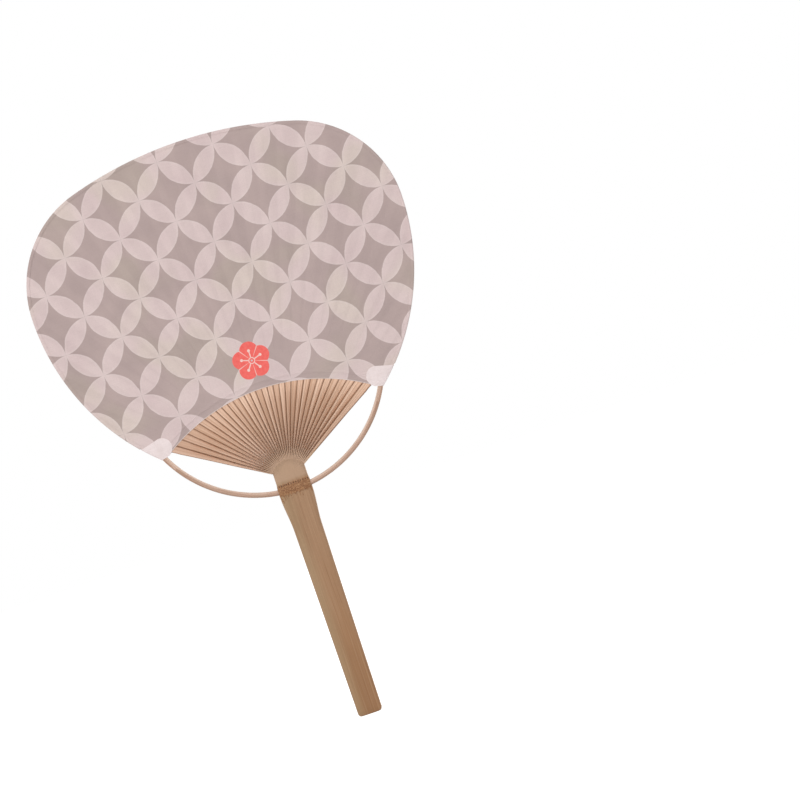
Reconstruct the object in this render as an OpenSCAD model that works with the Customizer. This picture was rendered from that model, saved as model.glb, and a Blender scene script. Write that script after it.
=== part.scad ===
// Round uchiwa: a rigid fan split from one piece of bamboo, with paper on both sides.
// It stands on the lower end of its grip. +Z runs up the handle, the front (skin side) faces -Y,
// and the papers lie on both sides of the plane y = 0.

/* [Grip] */
// Height of the bow hole above the lower end of the grip
hole_height = 148; // [130:1:170]
// Width of the grip at its lower end
grip_end_w = 15.5; // [13:0.5:17]
// Width of the grip where it starts to flare towards the node
grip_top_w = 17.9; // [17:0.1:19.5]
// Width across the node
node_w = 21.3; // [20.6:0.1:24]
// Width of the neck above the node
neck_w = 20.5; // [19:0.1:22]
// Thickness of the grip from skin to pith
grip_t = 7; // [6:0.1:9]
// How far the node stands out of the skin
node_rise = 0.8; // [0.3:0.1:1.5]
// Height of the node band
node_band = 6.5; // [5:0.5:8]
// Share of the node band that lies below the bow hole
node_share = 0.35; // [0.3:0.05:0.5]
// Length over which the grip flares out to the node
flare_len = 24; // [18:1:30]
// Outer radius of the culm that the handle is split from
culm_r = 45; // [38:1:70]
// Corner radius at the lower end of the grip
end_r = 2; // [1:0.5:4]
// Rounding of the long edges on the skin side
skin_edge_r = 1.6; // [0.8:0.1:2]
// Rounding of the long edges on the pith side
pith_edge_r = 1; // [0.4:0.1:1.5]

/* [Ribs] */
// Number of ribs that the culm is split into
rib_count = 32; // [24:2:38]
// Thickness of a rib
rib_t = 0.5; // [0.3:0.05:0.6]
// Width of a rib at the neck, which is what is left of the culm's wall
rib_root_w = 3.3; // [2.5:0.1:3.6]
// Width of a rib at its tip
rib_tip_w = 2.6; // [1.6:0.1:3.2]
// Gap between neighbouring ribs where they first lie flat
rib_slit = 0.15; // [0.1:0.05:0.4]
// Width that a rib covers, seen from the front, as a share of the ribs' spacing
rib_lap = 1.03; // [1.01:0.01:1.06]
// Clearance between neighbouring ribs where they lap like shingles
rib_fit = 0.07; // [0.05:0.01:0.15]
// Length over which a rib narrows, and then again lies down flat
rib_settle = 1.5; // [1:0.5:3]
// Angle between the outermost rib and the head's corner, seen from where the ribs spread
corner_gap = 6.4; // [6:0.1:9]
// Height of the point that the ribs spread from, above the bow hole
apex_rise = 7; // [5:0.5:9]
// Height of the ledge above that point, where the pith ends and only the culm's wall goes on
ledge_rise = 9; // [7.5:0.5:10]
// How far below the papers' edge a rib finishes its twist
flat_margin = 2; // [1:0.5:4]
// Distance from a rib's tip to the rim binding's fold
tip_gap = 0.5; // [0.3:0.1:2]

/* [Head] */
// Width of the head
head_w = 243.6; // [236:0.2:252]
// Height of the head's widest line above the ribs' apex
waist_rise = 145.4; // [142:0.2:148]
// Height of the head's top above the tops of its shoulders
crown_bulge = 7.8; // [6:0.2:12]
// Radius of the head's shoulders
shoulder_r = 68.6; // [62:0.2:72]
// Radius of the head's flanks below the widest line
flank_r = 146.6; // [142:0.2:150]
// Radius of the arch that the papers leave open above the neck
arch_r = 121; // [112:1:130]
// Height of the arch's crest above the ribs' apex
arch_rise = 58.9; // [55:0.1:62]

/* [Bow] */
// Diameter of the bow
bow_d = 3.4; // [2.8:0.1:3.8]
// Clearance round the bow in its hole
bow_fit = 0.08; // [0.05:0.01:0.2]
// Thickness of the bow's shaved ends
bow_tip_t = 0.7; // [0.5:0.05:0.8]
// Length over which each end is shaved down
bow_shave = 15; // [8:1:22]
// Length of each end inside its ear tab
bow_tuck = 6; // [5:0.5:6.5]
// Distance of the bow from the corner of the head, along the ear tab
bow_set = 1.2; // [0.6:0.1:1.6]

/* [Paper] */
// Thickness of each paper
paper_t = 0.2; // [0.1:0.05:0.3]
// Thickness of the layer of paste between the ribs and each paper
paste_t = 0.02; // [0.01:0.01:0.05]
// Width of the rim binding on each face
rim_w = 2; // [1.5:0.1:4]
// Thickness of the rim binding
rim_t = 0.15; // [0.1:0.05:0.3]
// Clearance between the rim binding's fold and the papers' edges
rim_fit = 0.1; // [0.05:0.05:0.2]

/* [Ear tabs] */
// Width of an ear tab
tab_w = 12.6; // [11:0.1:14]
// Distance from the head's corner to the inner end of an ear tab
tab_reach = 9.8; // [9:0.1:11.5]
// Slope of an ear tab
tab_tilt = 15; // [8:1:20]
// Height of an ear tab's lower edge above the head's corner
tab_trim = 1.3; // [0.9:0.1:1.8]
// Thickness of an ear tab's paper
tab_t = 0.2; // [0.15:0.05:0.3]
// Width of the pasted border round the pocket for the bow's end
tab_border = 0.3; // [0.2:0.1:0.6]

/* [Thread] */
// Diameter of the spacing thread
thread_d = 0.3; // [0.2:0.05:0.35]
// Distance of the thread from the papers' lower edge
thread_inset = 4.5; // [4:0.1:5]
// Clearance between the thread and what it passes
thread_fit = 0.03; // [0.02:0.01:0.06]
// Turns of the thread round each end of the bow
thread_turns = 3; // [1:1:4]

/* [Hidden] */
RIBS = [for (i = [1:rib_count]) str("rib_", i < 10 ? "0" : "", i)];

// Depths, measured from the papers' middle plane
back_y = (grip_t + node_rise) / 2;
skin_y = back_y - grip_t;
culm_y = skin_y + culm_r;
sheet_in = rib_t / 2 + paste_t;
sheet_out = sheet_in + paper_t;
thread_y = rib_t / 2 + thread_fit + thread_d / 2;
channel_y = rib_t / 2 + thread_d + 2 * thread_fit;
ridge_y = channel_y + paper_t;
pocket_y = ridge_y + thread_fit;
tab_y = pocket_y + tab_t;

// Heights along the handle
apex_z = hole_height + apex_rise;
node_low = hole_height - node_share * node_band;
node_top = node_low + node_band;
flare_start = node_low - flare_len;
ledge_z = apex_z + ledge_rise;

// Lengths over which the node's edges rise and fall, and its sides draw in to the neck
node_lip = 2.5;
neck_blend = 5;

// Centres of the head's arcs
waist_z = apex_z + waist_rise;
top_z = waist_z + shoulder_r + crown_bulge;
shoulder_x = head_w / 2 - shoulder_r;
flank_x = head_w / 2 - flank_r;
top_over_waist = top_z - waist_z;
crown_r = (shoulder_x ^ 2 + top_over_waist ^ 2 - shoulder_r ^ 2) / (2 * crown_bulge);
crown_z = top_z - crown_r;
arch_z = apex_z + arch_rise - arch_r;

// One of the two points where the circles round a and b cross
function crossing(a, ra, b, rb, side) =
    let (
        gap = norm(b - a),
        along = (gap ^ 2 + ra ^ 2 - rb ^ 2) / (2 * gap),
        off = sqrt(ra ^ 2 - along ^ 2),
        dir = (b - a) / gap
    )
    a + dir * along + side * off * [-dir.y, dir.x];

// The head's right corner. Angles from straight up: where the crown meets the shoulders, and
// where the drawn flanks end, a little below the corners
corner = crossing([0, arch_z], arch_r, [flank_x, waist_z], flank_r, -1);
joint_angle = atan2(shoulder_x, waist_z - crown_z);
flank_spare = 3;
flank_end = atan2(corner.x - flank_x, corner.y - waist_z) + flank_spare;

// The ribs spread as far as the corners let them. They start on a dome round their apex, the
// outermost ones just inside the neck's sides
fan_angle = atan2(corner.x, corner.y - apex_z) - corner_gap;
root_inset = 0.15;
root_r = (neck_w / 2 - root_inset) / sin(fan_angle);

// Directions along and across the right ear tab, and the centre of its round end
tab_along = [cos(tab_tilt), -sin(tab_tilt)];
tab_across = [sin(tab_tilt), cos(tab_tilt)];
tab_mid = corner + (tab_trim + tab_w / 2) * tab_across - (tab_reach - tab_w / 2) * tab_along;

// The bow is one arc from ear tab to ear tab through the bow hole
bow_entry = corner + tab_trim * tab_across - bow_set * tab_along;
bow_rise = bow_entry.y - hole_height;
bow_r = (bow_entry.x ^ 2 + bow_rise ^ 2) / (2 * bow_rise);
bow_z = hole_height + bow_r;
bow_entry_angle = atan2(bow_entry.x, bow_z - bow_entry.y);
bow_tip_angle = bow_entry_angle + degrees_of(bow_tuck, bow_r);
bow_thin_x = bow_entry.x - bow_d;
bow_shave_x = bow_r * sin(bow_entry_angle - degrees_of(bow_shave, bow_r));
bow_sag = bow_r - sqrt(bow_r ^ 2 - (node_w / 2) ^ 2);
bore_d = bow_d + bow_sag + 2 * bow_fit;
bore_z = hole_height + bow_sag / 2;

// The thread follows an arc inside the papers' edge and is tied where it meets the bow
thread_r = arch_r + thread_inset;
knot = crossing([0, arch_z], thread_r, [0, bow_z], bow_r, -1);
knot_angle = atan2(knot.x, knot.y - arch_z);
knot_pitch = thread_d + 2 * thread_fit;
knot_hole_r = bow_d;

// Polygon counts, the length of a facet on the head's edge, and a size larger than the whole fan
arc_step = 3;
thread_sides = 6;
rib_steps = 10;
round_steps = 6;
crown_steps = 8;
big = 400;
$fn = 96;

// Blends from a to b, and a smooth step from 0 to 1
function mix(a, b, t) = a + (b - a) * t;
function clamp01(t) = max(0, min(1, t));
function ease(t) = let (c = clamp01(t)) c * c * (3 - 2 * c);
function degrees_of(length, radius) = length / radius * 180 / PI;

// Stacks closed rings of points into a solid. Every ring has the same number of points
function ring_faces(rings, sides) = [
    for (i = [0:rings - 2], j = [0:sides - 1])
        let (a = i * sides + j, b = i * sides + (j + 1) % sides)
        each [[a, b, b + sides], [a, b + sides, a + sides]]
];

module loft(rings) {
    sides = len(rings[0]);
    last = (len(rings) - 1) * sides;
    polyhedron(
        points = [for (ring = rings, p = ring) p],
        faces = concat(
            ring_faces(len(rings), sides),
            [[for (j = [sides - 1:-1:0]) j], [for (j = [0:sides - 1]) last + j]]
        )
    );
}

// Stands a drawing of x and z upright, from depth y0 to depth y1
module upright(y0, y1) {
    translate([0, y1, 0])
        rotate([90, 0, 0])
            linear_extrude(height = y1 - y0)
                children();
}

// Turns a profile of radius and depth about an axis square to the papers. Angles are measured
// from straight up, and positive depth is towards the front
module sweep_about(centre_z, from, to) {
    translate([0, 0, centre_z])
        rotate([90, 0, 0])
            rotate([0, 0, 90 - to])
                rotate_extrude(angle = to - from)
                    children();
}

// Half the handle's width at a height: a long taper, a flare into the node, and the neck
function handle_half(z) =
    let (
        grip = mix(grip_end_w, grip_top_w, clamp01(z / flare_start)),
        flared = mix(grip, node_w, ease((z - flare_start) / (node_low - flare_start))),
        full = mix(flared, neck_w, ease((z - node_top) / neck_blend + 0.5)),
        cut = end_r - min(z, end_r)
    )
    full / 2 - end_r + sqrt(end_r ^ 2 - cut ^ 2);

// Depth of the skin's crown at a height: the node swells out of the culm
function crown_y(z) =
    skin_y - node_rise * (ease((z - node_low) / node_lip + 0.5) - ease((z - node_top) / node_lip + 0.5));

// Section of the handle: culm skin in front, flat pith behind, and four rounded edges
function handle_ring(z) =
    let (
        half = handle_half(z),
        front = crown_y(z),
        axis_y = front + culm_r,
        front_x = half - skin_edge_r,
        front_c = axis_y - sqrt((culm_r - skin_edge_r) ^ 2 - front_x ^ 2),
        lean = asin(front_x / (culm_r - skin_edge_r)),
        back_x = half - pith_edge_r,
        back_c = back_y - pith_edge_r
    )
    concat(
        [
            for (i = [0:crown_steps])
                let (a = mix(-lean, lean, i / crown_steps))
                [culm_r * sin(a), axis_y - culm_r * cos(a), z]
        ],
        [
            for (i = [1:round_steps])
                let (a = mix(lean, 90, i / round_steps))
                [front_x + skin_edge_r * sin(a), front_c - skin_edge_r * cos(a), z]
        ],
        [
            for (i = [0:round_steps - 1])
                let (a = mix(0, 90, i / (round_steps - 1)))
                [back_x + pith_edge_r * cos(a), back_c + pith_edge_r * sin(a), z]
        ],
        [
            for (i = [0:round_steps - 1])
                let (a = mix(90, 180, i / (round_steps - 1)))
                [-back_x + pith_edge_r * cos(a), back_c + pith_edge_r * sin(a), z]
        ],
        [
            for (i = [0:round_steps - 1])
                let (a = mix(90, lean, i / round_steps))
                [-front_x - skin_edge_r * sin(a), front_c - skin_edge_r * cos(a), z]
        ]
    );

// Heights of the handle's sections, closer together at the rounded end and at the node
handle_heights = concat(
    [for (a = [0:22.5:67.5]) end_r * (1 - cos(a))],
    [end_r, flare_start / 2, flare_start],
    [for (i = [1:8]) mix(flare_start, node_low - node_lip, i / 8)],
    [for (i = [1:20]) mix(node_low - node_lip, node_top + neck_blend / 2, i / 20)],
    [apex_z + root_r + 1]
);

module handle() {
    color("burlywood")
        difference() {
            intersection() {
                loft([for (z = handle_heights) handle_ring(z)]);
                union() {
                    upright(-big, big)
                        translate([-node_w, -1])
                            square([2 * node_w, apex_z + 2]);
                    upright(-big, big)
                        translate([0, apex_z])
                            circle(r = root_r);
                }
            }
            // The bow hole goes straight through the node
            translate([0, 0, bore_z])
                rotate([0, 90, 0])
                    cylinder(d = bore_d, h = 2 * node_w, center = true);
            // Above the ledge only the culm's wall is left for the ribs
            translate([0, culm_y, ledge_z])
                cylinder(r = culm_r - rib_root_w, h = root_r);
        }
}

// Ribs. A rib's angle is measured from straight up, positive to the right
rib_pitch = 2 * fan_angle / (rib_count - 1);
function rib_angle(i) = -fan_angle + (i - 1) * rib_pitch;
function ray(angle) = [sin(angle), cos(angle)];

// Spacing of the ribs at a distance from their apex
function spacing(r) = r * rib_pitch * PI / 180;

// Distance from the ribs' apex to a circle along a rib
function reach(angle, centre, radius) =
    let (
        c = centre - [0, apex_z],
        b = c * ray(angle)
    )
    b + sqrt(radius ^ 2 - c * c + b ^ 2);

// Distance to the head's edge, less a margin: crown, shoulder or flank, whichever the rib meets
function rim_reach(angle, margin) =
    let (
        a = abs(angle),
        joint = [0, crown_z] + crown_r * ray(joint_angle),
        crown_end = atan2(joint.x, joint.y - apex_z),
        waist_angle = atan2(head_w / 2, waist_rise)
    )
    a < crown_end ? reach(a, [0, crown_z], crown_r - margin) :
    a < waist_angle ? reach(a, [shoulder_x, waist_z], shoulder_r - margin) :
    reach(a, [flank_x, waist_z], flank_r - margin);

function flat_reach(angle) = reach(angle, [0, arch_z], arch_r) - flat_margin;
function flat_width(angle) = spacing(flat_reach(angle)) - rib_slit;
function tip_reach(angle) = rim_reach(angle, rim_t + rib_tip_w / 2 + tip_gap);

// Width of a rib where it lies flat, at a distance from the apex
function rib_width(angle, r) =
    let (flat = flat_reach(angle))
    mix(flat_width(angle), rib_tip_w, (r - flat) / (tip_reach(angle) - flat));

// Corners of a rib's section: turned by tilt out of the papers' plane, with its middle at depth y
function rib_ring(angle, r, y, width, tilt) =
    let (
        out = ray(angle),
        middle = [out.x * r, y, apex_z + out.y * r],
        across = [out.y, 0, -out.x],
        wide = across * cos(tilt) + [0, sin(tilt), 0],
        thick = [0, cos(tilt), 0] - across * sin(tilt)
    )
    [
        for (corner_of = [[-1, -1], [1, -1], [1, 1], [-1, 1]])
            middle + wide * width / 2 * corner_of.x + thick * rib_t / 2 * corner_of.y
    ];

// Tilt at which a rib covers its share of the spacing, but no flatter than clears its neighbour
function lap_tilt(r, width) =
    let (covered = rib_lap * spacing(r) / norm([width, rib_t]))
    max(
        atan2(rib_t, width) + acos(min(1, covered)),
        asin((rib_t + rib_fit) / spacing(r))
    );

// A slice of the culm's wall: on edge at the neck, it twists until it laps its neighbour like a
// shingle, and lies down flat just before it goes in between the papers
module rib(i) {
    angle = rib_angle(i);
    flat = flat_reach(angle);
    tip = tip_reach(angle);
    lapped = flat - 2 * rib_settle;
    lapped_w = rib_lap * spacing(lapped);
    narrowed = flat - rib_settle;
    root_x = root_r * sin(angle);
    root_y = culm_y - sqrt(culm_r ^ 2 - root_x ^ 2) + rib_root_w / 2;
    color("tan")
        loft(concat(
            [
                for (k = [0:rib_steps])
                    let (
                        t = k / rib_steps,
                        r = mix(root_r, lapped, t),
                        width = mix(rib_root_w, lapped_w, t)
                    )
                    rib_ring(angle, r, root_y * (1 - ease(t)), width, lap_tilt(r, width))
            ],
            [
                rib_ring(angle, narrowed, 0, spacing(narrowed) - rib_slit, lap_tilt(lapped, lapped_w)),
                rib_ring(angle, flat, 0, flat_width(angle), 0)
            ],
            [
                for (t = [0.5, 1])
                    let (r = mix(flat, tip, t))
                    rib_ring(angle, r, 0, rib_width(angle, r), 0)
            ]
        ));
}

// The bow: a round stick bent to an arc, with both ends shaved thin to lie between the papers
module bow() {
    thick = bow_d;
    thin = bow_tip_t / 2;
    color("peru")
        intersection() {
            sweep_about(bow_z, 180 - bow_tip_angle, 180 + bow_tip_angle)
                translate([bow_r, 0])
                    circle(d = bow_d);
            linear_extrude(height = bow_z)
                polygon([
                    [-bow_z, -thin],
                    [-bow_thin_x, -thin],
                    [-bow_shave_x, -thick],
                    [bow_shave_x, -thick],
                    [bow_thin_x, -thin],
                    [bow_z, -thin],
                    [bow_z, thin],
                    [bow_thin_x, thin],
                    [bow_shave_x, thick],
                    [-bow_shave_x, thick],
                    [-bow_thin_x, thin],
                    [-bow_z, thin]
                ]);
        }
}

// Points along an arc, with both ends. Angles are measured from straight up
function arc(centre, radius, from, to) =
    let (steps = ceil((to - from) * PI / 180 * radius / arc_step))
    [for (i = [0:steps]) centre + radius * ray(mix(from, to, i / steps))];

// The head's right side from the top down: half the crown, a shoulder and a flank. Neighbouring
// arcs meet on the line through both their centres, so each runs on smoothly from the last
function head_side(inset) = concat(
    arc([0, crown_z], crown_r - inset, 0, joint_angle),
    arc([shoulder_x, waist_z], shoulder_r - inset, joint_angle, 90),
    arc([flank_x, waist_z], flank_r - inset, 90, flank_end)
);

// Outline of the head, drawn in by an inset
module head_outline(inset = 0) {
    side = head_side(inset);
    last = len(side) - 1;
    polygon(concat(
        side,
        [for (i = [last:-1:1]) [-side[i].x, side[i].y]]
    ));
}

// Both ear tabs' outlines, grown by a margin: a round inner end, and sides that run out past the edge
module tab_outline(side, grow = 0) {
    mirror([side < 0 ? 1 : 0, 0])
        translate(tab_mid)
            rotate([0, 0, -tab_tilt]) {
                circle(r = tab_w / 2 + grow);
                translate([0, -tab_w / 2 - grow])
                    square([4 * tab_w, tab_w + 2 * grow]);
            }
}

// What the arch, and beyond it the line of the ear tabs' lower edges, leaves open
module below_head() {
    translate([0, arch_z])
        circle(r = arch_r);
    for (side = [-1, 1])
        mirror([side < 0 ? 1 : 0, 0])
            translate(tab_mid)
                rotate([0, 0, -tab_tilt])
                    translate([-tab_w / 4, -2 * tab_w])
                        square([2 * tab_w, 1.5 * tab_w]);
}

// The raised line that the papers make over the thread, from ear tab to ear tab
module thread_ridge(grow = 0) {
    foot = 1.5 * thread_d + paper_t + grow;
    top = thread_d + paper_t / 2 + grow;
    out = ridge_y + grow;
    sweep_about(arch_z, -knot_angle, knot_angle)
        translate([thread_r, 0])
            polygon([[-foot, 0], [foot, 0], [top, out], [-top, out]]);
}

module thread_channel() {
    sweep_about(arch_z, -knot_angle - 1, knot_angle + 1)
        translate([thread_r, 0])
            polygon([
                [-thread_d, -1],
                [thread_d, -1],
                [thread_d, channel_y],
                [-thread_d, channel_y]
            ]);
}

// Outline of the slots that the bow's ends lie in, from the papers' edge up to the knots
module bow_slots() {
    rise = knot - bow_entry;
    for (side = [-1, 1])
        mirror([side < 0 ? 1 : 0, 0]) {
            translate(knot)
                circle(r = knot_hole_r);
            translate(bow_entry)
                rotate([0, 0, atan2(rise.y, rise.x)])
                    translate([-knot_hole_r, -knot_hole_r])
                        square([norm(rise) + knot_hole_r, 2 * knot_hole_r]);
        }
}

// One paper, on the front of the ribs
module paper_sheet() {
    difference() {
        union() {
            upright(-sheet_out, -sheet_in)
                difference() {
                    head_outline(rim_t + rim_fit);
                    below_head();
                }
            difference() {
                thread_ridge();
                translate([-big, -sheet_in, 0])
                    cube([2 * big, big, 2 * big]);
            }
        }
        thread_channel();
        // The papers are cut away round the bow's tied ends
        upright(-2 * tab_y, 1)
            bow_slots();
    }
}

module front_paper() {
    color("thistle")
        paper_sheet();
}

module back_paper() {
    color("wheat")
        mirror([0, 1, 0])
            paper_sheet();
}

// A strip of paper folded round the head's edge, from ear tab to ear tab
module rim_binding() {
    out = sheet_out + rim_t;
    color("rosybrown")
        difference() {
            upright(-out, out)
                difference() {
                    head_outline();
                    head_outline(rim_w);
                    translate([-big, 0])
                        square([2 * big, tab_mid.y]);
                    for (side = [-1, 1])
                        tab_outline(side, rim_fit);
                }
            upright(-sheet_out, sheet_out)
                head_outline(rim_t);
        }
}

// A folded ear tab: it bridges the tied end of the bow and is pasted down round its border
module ear_tab(side) {
    color("mistyrose")
        difference() {
            upright(-tab_y, tab_y)
                intersection() {
                    head_outline();
                    tab_outline(side);
                }
            upright(-pocket_y, pocket_y)
                intersection() {
                    head_outline(tab_t);
                    tab_outline(side, -tab_border);
                }
            upright(-sheet_out, sheet_out)
                head_outline(tab_t);
            for (face = [0, 1])
                mirror([0, face, 0])
                    thread_ridge(thread_fit);
        }
}

module left_ear_tab() {
    ear_tab(-1);
}

module right_ear_tab() {
    ear_tab(1);
}

// The woven thread's path: over one rib and under the next, then round the bow's shaved ends
function thread_angle(i) =
    let (
        angle = rib_angle(i),
        r = reach(angle, [0, arch_z], thread_r),
        p = r * ray(angle)
    )
    atan2(p.x, p.y + apex_z - arch_z);
function thread_half(i) =
    let (r = reach(rib_angle(i), [0, arch_z], thread_r))
    degrees_of(
        (rib_width(rib_angle(i), r) / 2 + thread_d / 2) / cos(rib_angle(i) - thread_angle(i)),
        thread_r
    );
function thread_point(angle, y) = [thread_r * sin(angle), y, arch_z + thread_r * cos(angle)];
function thread_side(i) = i % 2 == 0 ? 1 : -1;

weave = [
    for (i = [1:rib_count], end = [-1, 1])
        thread_point(thread_angle(i) + end * thread_half(i), thread_side(i) * thread_y)
];

// Turns round the right end of the bow. The first quarter starts on the side given
function knot_turns(first) =
    let (
        out = (knot - [0, bow_z]) / bow_r,
        up = [-out.y, out.x],
        wide = bow_d / 2 + thread_fit + thread_d / 2,
        deep = bow_tip_t / 2 + thread_fit + thread_d / 2,
        quarters = 4 * thread_turns
    )
    [
        for (q = [0:quarters])
            let (
                x = [-1, 1, 1, -1][q % 4] * wide,
                y = [1, 1, -1, -1][q % 4] * deep * first,
                p = knot + out * x + up * knot_pitch * (q - quarters / 2) / 4
            )
            [p.x, y, p.y]
    ];

function mirrored(points) = [for (i = [len(points) - 1:-1:0]) [-points[i].x, points[i].y, points[i].z]];

thread_path = concat(
    mirrored(knot_turns(-thread_side(1))),
    weave,
    knot_turns(-thread_side(rib_count))
);

// Rings of a tube along the thread's path, square to the bisector at each point
function thread_ring(k) =
    let (
        here = thread_path[k],
        before = thread_path[max(k - 1, 0)],
        after = thread_path[min(k + 1, len(thread_path) - 1)],
        along = (after - before) / norm(after - before),
        outward = here - [0, here.y, arch_z],
        side = outward - along * (along * outward),
        u = side / norm(side),
        v = cross(along, u)
    )
    [
        for (j = [0:thread_sides - 1])
            let (a = 360 * j / thread_sides)
            here + thread_d / 2 * (u * cos(a) + v * sin(a))
    ];

module spacing_thread() {
    color("saddlebrown")
        loft([for (k = [0:len(thread_path) - 1]) thread_ring(k)]);
}

handle();
bow();
spacing_thread();
front_paper();
back_paper();
rim_binding();
left_ear_tab();
right_ear_tab();
for (i = [1:rib_count])
    rib(i);
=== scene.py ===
"""Looks of a round uchiwa fan: bamboo handle, ribs and bow, with printed papers on both sides."""
import math

import bpy
import numpy as np
from mathutils import Matrix, Vector, noise

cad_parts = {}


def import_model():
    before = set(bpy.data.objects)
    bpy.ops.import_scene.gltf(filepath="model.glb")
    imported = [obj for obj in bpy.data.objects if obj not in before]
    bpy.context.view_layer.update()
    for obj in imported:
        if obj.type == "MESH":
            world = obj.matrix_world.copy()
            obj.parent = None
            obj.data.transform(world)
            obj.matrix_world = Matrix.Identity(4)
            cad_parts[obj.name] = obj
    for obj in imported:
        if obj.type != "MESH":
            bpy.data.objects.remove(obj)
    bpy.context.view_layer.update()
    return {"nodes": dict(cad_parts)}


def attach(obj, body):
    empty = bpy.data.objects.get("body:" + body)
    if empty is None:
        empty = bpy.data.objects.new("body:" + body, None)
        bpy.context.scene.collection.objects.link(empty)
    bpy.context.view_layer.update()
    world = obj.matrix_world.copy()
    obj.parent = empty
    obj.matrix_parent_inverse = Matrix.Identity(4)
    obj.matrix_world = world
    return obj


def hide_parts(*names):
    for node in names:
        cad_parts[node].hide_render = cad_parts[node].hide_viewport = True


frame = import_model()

MM = 0.001

# ---------------- sizes in mm, as in the CAD model
GRIP_END_W, GRIP_TOP_W, NODE_W, NECK_W = 15.5, 17.9, 21.3, 20.5
NODE_RISE, NODE_LOW, NODE_TOP, NODE_LIP, NECK_BLEND = 0.8, 145.725, 152.225, 2.5, 5
FLARE_START, END_R, SKIN_EDGE, PITH_EDGE = 121.725, 2, 1.6, 1
CULM_R, SKIN_Y, BACK_Y, CULM_Y = 45, -3.1, 3.9, 41.9
HOLE_Z, APEX_Z, LEDGE_Z, WALL = 148, 155, 164, 3.3
HOLE_R, HOLE_MID_Z, HOLE_LONG = 2.16, 148.36, 60
RIB_COUNT, RIB_T, RIB_TIP_W, RIB_FIT, RIB_SETTLE = 32, 0.5, 2.6, 0.07, 1.5
CORNER_GAP, FLAT_MARGIN, TIP_GAP, ROOT_INSET = 6.4, 2, 0.5, 0.15
HEAD_W, WAIST_Z, CROWN_BULGE = 243.6, 300.4, 7.8
SHOULDER_R, FLANK_R, ARCH_R, ARCH_Z = 68.6, 146.6, 121, 92.9
BOW_D, BOW_TIP_T, BOW_SHAVE, BOW_TUCK, BOW_SET = 3.4, 0.7, 15, 6, 1.2
SHEET_IN, SHEET_OUT, RIM_W, RIM_T, RIM_FIT = 0.27, 0.47, 2, 0.15, 0.1
TAB_W, TAB_REACH, TAB_TILT, TAB_TRIM, TAB_T, TAB_Y = 12.6, 9.8, 15, 1.3, 0.2, 1.04
THREAD_INSET, KNOT_HOLE = 4.5, 3.4

# Closer than in the CAD model, so that no light shows between the ribs
RIB_SLIT, RIB_LAP, RIB_COVER, PAST_ARCH = 0.02, 1.07, 0.15, 1
ROOT_LAP, LAP_REACH, SPLIT_REACH = 1.5, 45, 11
RIB_EDGE = 0.55  # thickness at a rib's long edges, as a share of its thickness

ROOT_SCAR_STEP = 1.55
THREAD_RISE, THREAD_SPREAD = 0.34, 0.8
FRONT_HOLLOW, BACK_HOLLOW = 0.09, 0.05
SHARP = 48  # degrees between faces from which an edge is shaded sharp

# The picture: lens, sensor and frame in mm, lean in degrees, light as a share of white
LENS, SENSOR, FRAME_W, FRAME_X, FRAME_Z, LEAN = 100.0, 36.0, 500.0, 79.8497, 179.4875, 18.66
LAMP_AIM = (0, 0, 0.22)
AMBIENT, FLOOR_GLOW = 0.5, 0.62

SHOULDER_X = HEAD_W / 2 - SHOULDER_R
FLANK_X = HEAD_W / 2 - FLANK_R
TOP_Z = WAIST_Z + SHOULDER_R + CROWN_BULGE
CROWN_R = (SHOULDER_X ** 2 + (TOP_Z - WAIST_Z) ** 2 - SHOULDER_R ** 2) / (2 * CROWN_BULGE)
CROWN_Z = TOP_Z - CROWN_R
JOINT = math.atan2(SHOULDER_X, WAIST_Z - CROWN_Z)


def mix(a, b, t):
    return a + (b - a) * t


def ease(t):
    c = min(1.0, max(0.0, t))
    return c * c * (3 - 2 * c)


def crossing(a, ra, b, rb):
    """Where the circles round a and b cross, on the right."""
    a, b = np.array(a, float), np.array(b, float)
    gap = np.linalg.norm(b - a)
    along = (gap ** 2 + ra ** 2 - rb ** 2) / (2 * gap)
    off = math.sqrt(ra ** 2 - along ** 2)
    way = (b - a) / gap
    return a + way * along - off * np.array([-way[1], way[0]])


def reach(angle, centre, radius):
    """Distance from the ribs' apex to a circle, along a ray at an angle from straight up."""
    cx, cz = centre[0], centre[1] - APEX_Z
    b = cx * math.sin(angle) + cz * math.cos(angle)
    return b + math.sqrt(radius ** 2 - cx ** 2 - cz ** 2 + b ** 2)


CORNER = crossing((0, ARCH_Z), ARCH_R, (FLANK_X, WAIST_Z), FLANK_R)
FAN = math.atan2(CORNER[0], CORNER[1] - APEX_Z) - math.radians(CORNER_GAP)
PITCH = 2 * FAN / (RIB_COUNT - 1)
ROOT_R = (NECK_W / 2 - ROOT_INSET) / math.sin(FAN)
CROWN_END = math.atan2(CROWN_R * math.sin(JOINT), CROWN_Z + CROWN_R * math.cos(JOINT) - APEX_Z)
WAIST_ANGLE = math.atan2(HEAD_W / 2, WAIST_Z - APEX_Z)

TILT = math.radians(TAB_TILT)
TAB_ALONG = np.array([math.cos(TILT), -math.sin(TILT)])
TAB_ACROSS = np.array([math.sin(TILT), math.cos(TILT)])
TAB_MID = CORNER + (TAB_TRIM + TAB_W / 2) * TAB_ACROSS - (TAB_REACH - TAB_W / 2) * TAB_ALONG
BOW_ENTRY = CORNER + TAB_TRIM * TAB_ACROSS - BOW_SET * TAB_ALONG
BOW_R = (BOW_ENTRY[0] ** 2 + (BOW_ENTRY[1] - HOLE_Z) ** 2) / (2 * (BOW_ENTRY[1] - HOLE_Z))
BOW_Z = HOLE_Z + BOW_R
BOW_TIP = math.atan2(BOW_ENTRY[0], BOW_Z - BOW_ENTRY[1]) + BOW_TUCK / BOW_R
KNOT = crossing((0, ARCH_Z), ARCH_R + THREAD_INSET, (0, BOW_Z), BOW_R)


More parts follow.
